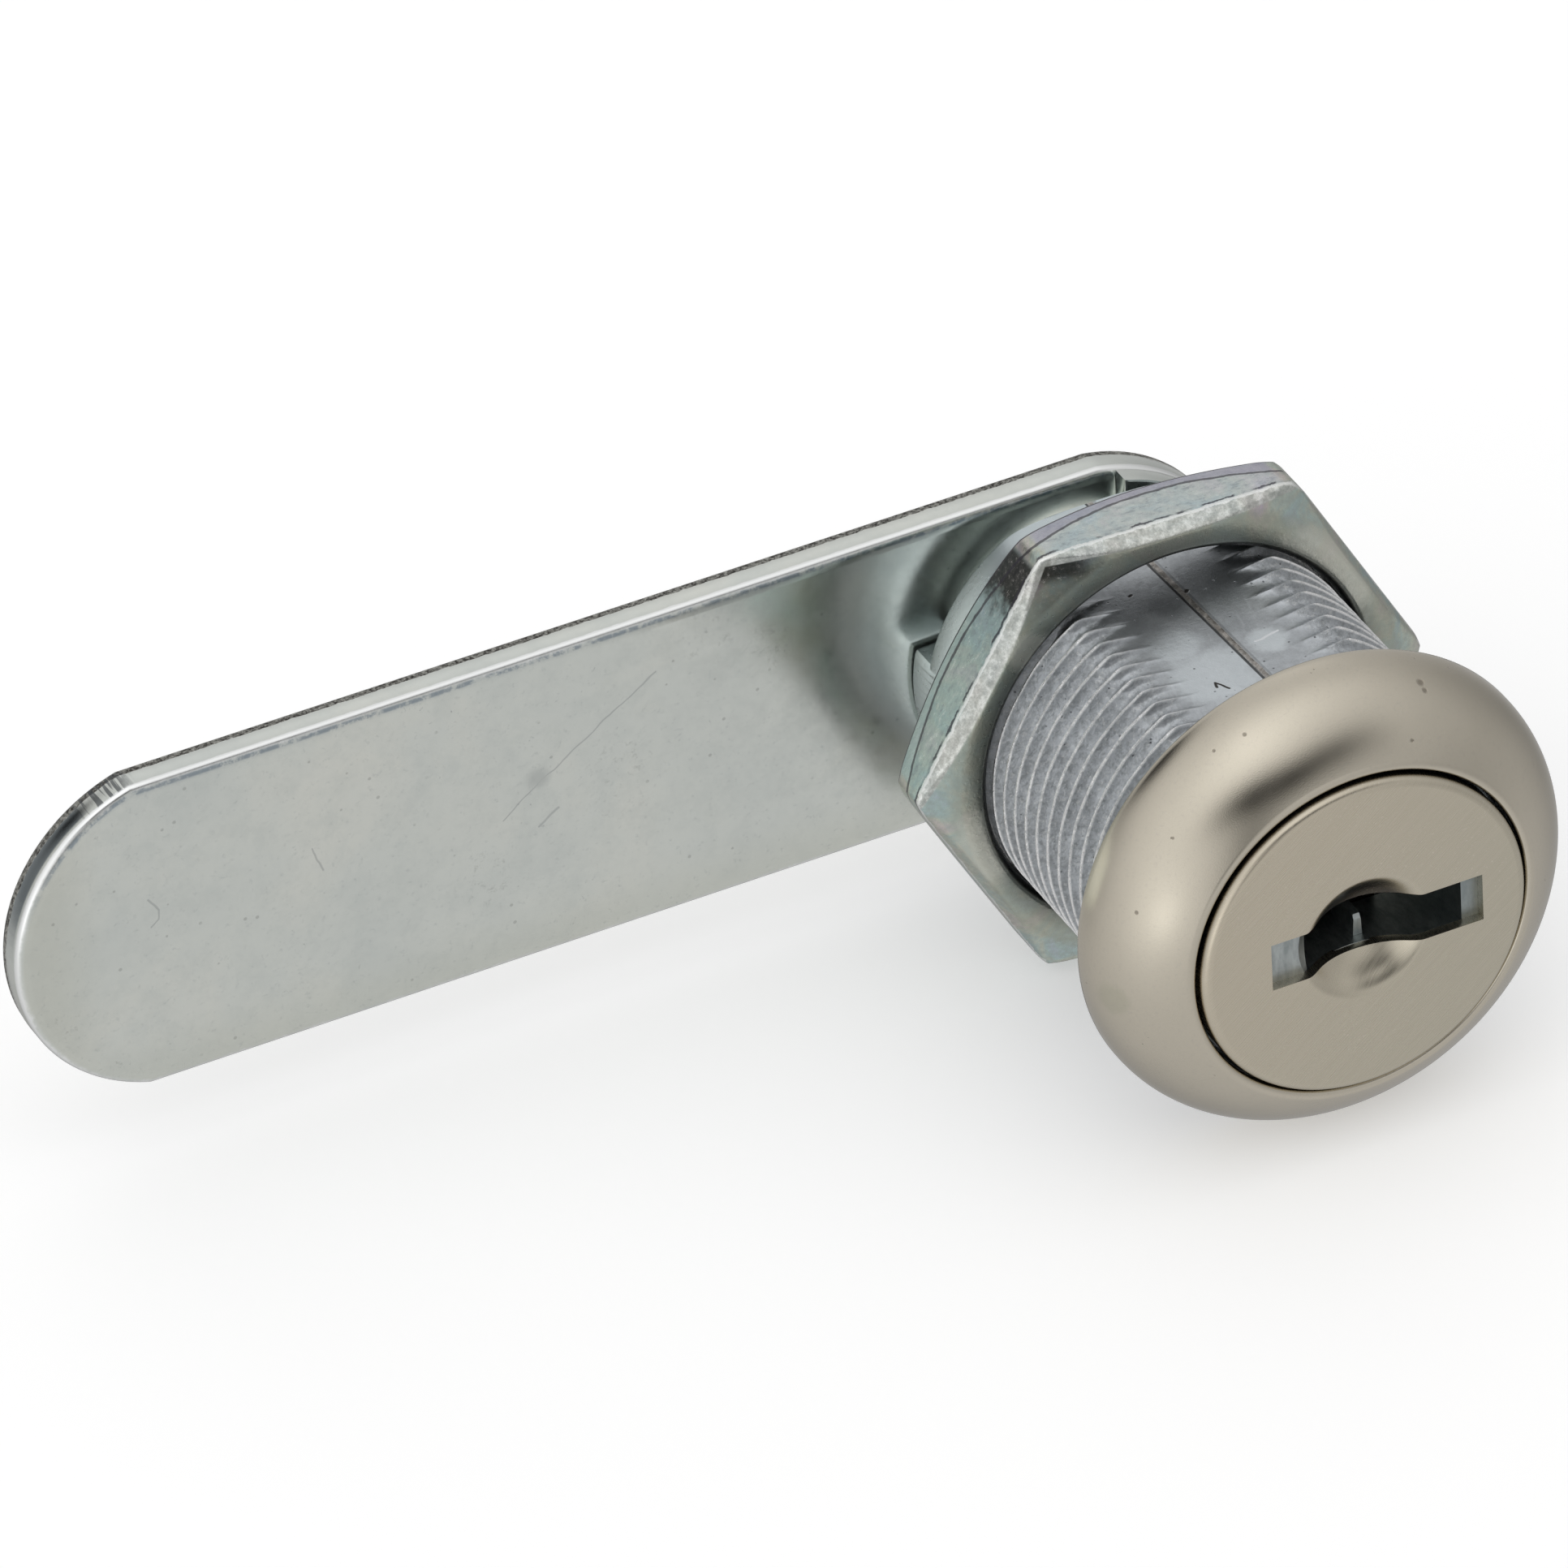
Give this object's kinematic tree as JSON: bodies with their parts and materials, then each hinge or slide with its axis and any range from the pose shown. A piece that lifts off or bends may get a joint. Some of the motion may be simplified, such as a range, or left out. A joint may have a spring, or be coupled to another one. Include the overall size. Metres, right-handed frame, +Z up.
{
  "type": "cam lock",
  "caption": "Short threaded cam lock with a domed satin head, an off-centre key slot, a disc tumbler plug, a hex nut and a long flat round-ended cam.",
  "frame": {"origin": "on the lock's axis, in the plane of the head's rear face that seats on the panel", "axes": "+Y runs along the lock's axis from the key side to the cam side, +Z points up square to the body's two flats, and the cam at rest points along -X"},
  "size_m": [0.0649, 0.0338, 0.023],
  "materials": {
    "zinc_cast": "die-cast zinc alloy, as cast, dull blue-grey",
    "satin_nickel": "satin nickel plate, finely brushed",
    "zinc_plated": "bright zinc plated steel with a faint blue and green passivation tint",
    "brass": "stamped brass sheet",
    "spring_steel": "drawn spring steel"
  },
  "bodies": {
    "body": {"housing": "zinc_cast", "head_trim": "satin_nickel"},
    "plug": {"plug": "zinc_cast", "face_cap": "satin_nickel", "stop_washer": "zinc_plated", "cam": "zinc_plated", "cam_washer": "zinc_plated", "spring_washer": "spring_steel", "cam_screw": "zinc_plated", "wafer_spring_1": "spring_steel", "wafer_spring_2": "spring_steel", "wafer_spring_3": "spring_steel", "wafer_spring_4": "spring_steel", "wafer_spring_5": "spring_steel", "wafer_spring_6": "spring_steel"},
    "tumbler_1": {"wafer_1": "brass"},
    "tumbler_2": {"wafer_2": "brass"},
    "tumbler_3": {"wafer_3": "brass"},
    "tumbler_4": {"wafer_4": "brass"},
    "tumbler_5": {"wafer_5": "brass"},
    "tumbler_6": {"wafer_6": "brass"},
    "nut": {"hex_nut": "zinc_plated"}
  },
  "joints": [
    {"name": "plug_turn", "type": "hinge", "parent": "body", "child": "plug", "pos_m": [0, 0, 0], "axis": [0, -1, 0], "range_deg": [0, 90]},
    {"name": "tumbler_1_slide", "type": "slide", "parent": "plug", "child": "tumbler_1", "axis": [-1, 0, 0], "range_m": [0, 0.0006], "stiffness_N_per_m": 150, "springref_m": 0.0016, "deforming": ["wafer_spring_1"]},
    {"name": "tumbler_2_slide", "type": "slide", "parent": "plug", "child": "tumbler_2", "axis": [-1, 0, 0], "range_m": [0, 0.0006], "stiffness_N_per_m": 150, "springref_m": 0.0016, "deforming": ["wafer_spring_2"]},
    {"name": "tumbler_3_slide", "type": "slide", "parent": "plug", "child": "tumbler_3", "axis": [-1, 0, 0], "range_m": [0, 0.0006], "stiffness_N_per_m": 150, "springref_m": 0.0016, "deforming": ["wafer_spring_3"]},
    {"name": "tumbler_4_slide", "type": "slide", "parent": "plug", "child": "tumbler_4", "axis": [-1, 0, 0], "range_m": [0, 0.0006], "stiffness_N_per_m": 150, "springref_m": 0.0016, "deforming": ["wafer_spring_4"]},
    {"name": "tumbler_5_slide", "type": "slide", "parent": "plug", "child": "tumbler_5", "axis": [-1, 0, 0], "range_m": [0, 0.0006], "stiffness_N_per_m": 150, "springref_m": 0.0016, "deforming": ["wafer_spring_5"]},
    {"name": "tumbler_6_slide", "type": "slide", "parent": "plug", "child": "tumbler_6", "axis": [-1, 0, 0], "range_m": [0, 0.0006], "stiffness_N_per_m": 150, "springref_m": 0.0016, "deforming": ["wafer_spring_6"]},
    {"name": "nut_travel", "type": "slide", "parent": "body", "child": "nut", "axis": [0, 1, 0], "range_m": [-0.0116, 0.0042]}
  ]
}
